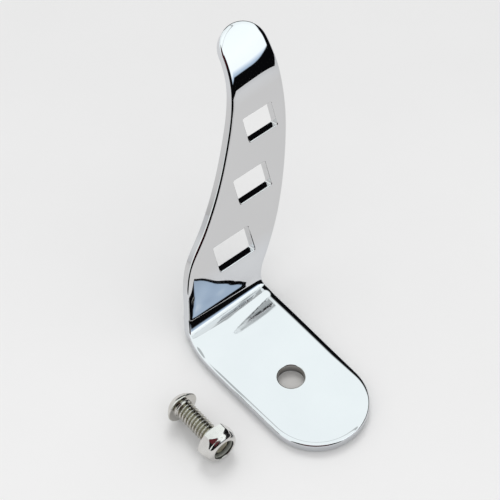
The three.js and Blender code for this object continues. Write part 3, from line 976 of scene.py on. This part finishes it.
def tent(tree, azimuth, z):
    """The bright tent's colours, bluer low in front, with the dark room below its horizon."""
    front = smooth_step(tree, azimuth, *DARK_FRONT)
    right = smooth_step(tree, azimuth, *DARK_RIGHT)
    back = smooth_step(tree, azimuth, *DARK_BACK)
    height = math_node(tree, "ADD", front, right)
    height = math_node(tree, "ADD", height, smooth_step(tree, azimuth, *DARK_CORNER))
    horizon = math_node(tree, "ADD", math_node(tree, "MULTIPLY", height, back), LOW_HORIZON)
    blur, least_blur = HORIZON_BLUR
    softness = math_node(tree, "ADD", math_node(tree, "MULTIPLY", horizon, blur), least_blur)
    lit = smooth_step(tree, z, horizon, math_node(tree, "ADD", horizon, softness))
    blue = math_node(tree, "DIVIDE", front, DARK_FRONT[3])
    blue = math_node(tree, "MULTIPLY", blue, smooth_step(tree, azimuth, *BLUE_FRONT))
    raised = math_node(tree, "ADD", z, BLUE_LIFT)
    ramp = tree.nodes.new("ShaderNodeValToRGB")
    points = ramp.color_ramp.elements
    points[0].position, points[1].position = BRIGHT_WALL_STEPS[0][0], BRIGHT_WALL_STEPS[-1][0]
    for position, _ in BRIGHT_WALL_STEPS[1:-1]:
        points.new(position)
    for point, (_, color) in zip(points, BRIGHT_WALL_STEPS):
        point.color = (*color, 1)
    tree.links.new(math_node(tree, "MULTIPLY_ADD", blue, -BLUE_LIFT, raised), ramp.inputs["Fac"])
    low = smooth_step(tree, z, *HAZE_TOP, 1.0, 0.0)
    low = math_node(tree, "MULTIPLY", low, math_node(tree, "SUBTRACT", 1.0, blue))
    return mixed(tree, lit, DARK_WALL, mixed(tree, low, ramp.outputs["Color"], HAZE))


def with_figure(tree, direction, azimuth, z, color):
    """A colour with the dark figure behind the camera over it, its shirt red."""
    toward = tree.nodes.new("ShaderNodeVectorMath")
    toward.operation = "DOT_PRODUCT"
    toward.inputs[1].default_value = CAMERA_BACK
    tree.links.new(direction, toward.inputs[0])
    head = smooth_step(tree, toward.outputs["Value"], *PERSON_EDGE)
    sideways = math_node(tree, "ABSOLUTE", math_node(tree, "SUBTRACT", azimuth, BODY_BEARING))
    body = smooth_step(tree, sideways, BODY_HALF_WIDTH, BODY_HALF_WIDTH + BODY_EDGE, 1.0, 0.0)
    body = math_node(tree, "MULTIPLY", body, smooth_step(tree, z, *BODY_TOP))
    person = math_node(tree, "MAXIMUM", head, body)
    shirt = mixed(tree, smooth_step(tree, toward.outputs["Value"], *SHIRT_EDGE), DARK_WALL, SHIRT)
    return mixed(tree, person, color, shirt)


def brightness(tree, azimuth, z):
    """A little more in front, and less in the thin rim near the top."""
    rim_start = smooth_step(tree, z, *OVERHEAD_RIM[:2], 0.0, OVERHEAD_SHADE)
    rim_end = smooth_step(tree, z, *OVERHEAD_RIM[2:], 0.0, OVERHEAD_SHADE)
    rim = math_node(tree, "SUBTRACT", 1.0, math_node(tree, "SUBTRACT", rim_start, rim_end))
    return math_node(tree, "MULTIPLY", smooth_step(tree, azimuth, *BRIGHTER_FRONT), rim)


def room():
    """What the metal mirrors, and even white light for everything else.

    Glossy rays see a bright tent over a dark room that stands higher in front and to the right, and a
    dark figure with a red shirt behind the camera. It is made for the photograph's view.
    """
    world = bpy.data.worlds.new("room")
    bpy.context.scene.world = world
    world.use_nodes = True
    tree = world.node_tree
    tree.nodes.clear()
    direction = tree.nodes.new("ShaderNodeTexCoord").outputs["Generated"]
    split = tree.nodes.new("ShaderNodeSeparateXYZ")
    tree.links.new(direction, split.inputs[0])
    x, y, z = (split.outputs[i] for i in range(3))
    azimuth = math_node(tree, "ARCTAN2", y, x)
    mirrored = tree.nodes.new("ShaderNodeBackground")
    seen = with_figure(tree, direction, azimuth, z, tent(tree, azimuth, z))
    tree.links.new(seen, mirrored.inputs["Color"])
    tree.links.new(brightness(tree, azimuth, z), mirrored.inputs["Strength"])
    plain = tree.nodes.new("ShaderNodeBackground")
    plain.inputs["Color"].default_value = (1.0, 1.0, 1.0, 1)
    plain.inputs["Strength"].default_value = AMBIENT
    choose = tree.nodes.new("ShaderNodeMixShader")
    rays = tree.nodes.new("ShaderNodeLightPath")
    tree.links.new(rays.outputs["Is Glossy Ray"], choose.inputs["Fac"])
    tree.links.new(plain.outputs[0], choose.inputs[1])
    tree.links.new(mirrored.outputs[0], choose.inputs[2])
    out = tree.nodes.new("ShaderNodeOutputWorld")
    tree.links.new(choose.outputs[0], out.inputs["Surface"])


def camera():
    """The photograph's viewpoint."""
    data = bpy.data.cameras.new("camera")
    data.lens = CAMERA_LENS
    data.sensor_width = CAMERA_SENSOR
    viewer = bpy.data.objects.new("camera", data)
    turn = Matrix([CAMERA_RIGHT, CAMERA_UP, CAMERA_BACK]).transposed().to_4x4()
    viewer.matrix_world = Matrix.Translation([v * MM for v in CAMERA_PLACE]) @ turn
    bpy.context.scene.collection.objects.link(viewer)
    bpy.context.scene.camera = viewer
    bpy.context.scene.view_settings.view_transform = "Standard"


# The scene --------------------------------------------------------------------------------------


def dress(piece, body, node, material):
    """Puts a finished piece on its body in place of its CAD node, with its material."""
    piece.data.materials.append(material)
    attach(piece, body)
    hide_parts(node)


dress(bracket(), "bracket", "hanger_bracket", chrome())
dress(bolt(), "bolt", "mounting_bolt", bolt_steel())
dress(nut(), "nut", "lock_nut_body", nut_steel())
dress(nylon_ring(), "nut", "nylon_insert", nylon())
floor()
lights()
room()
camera()
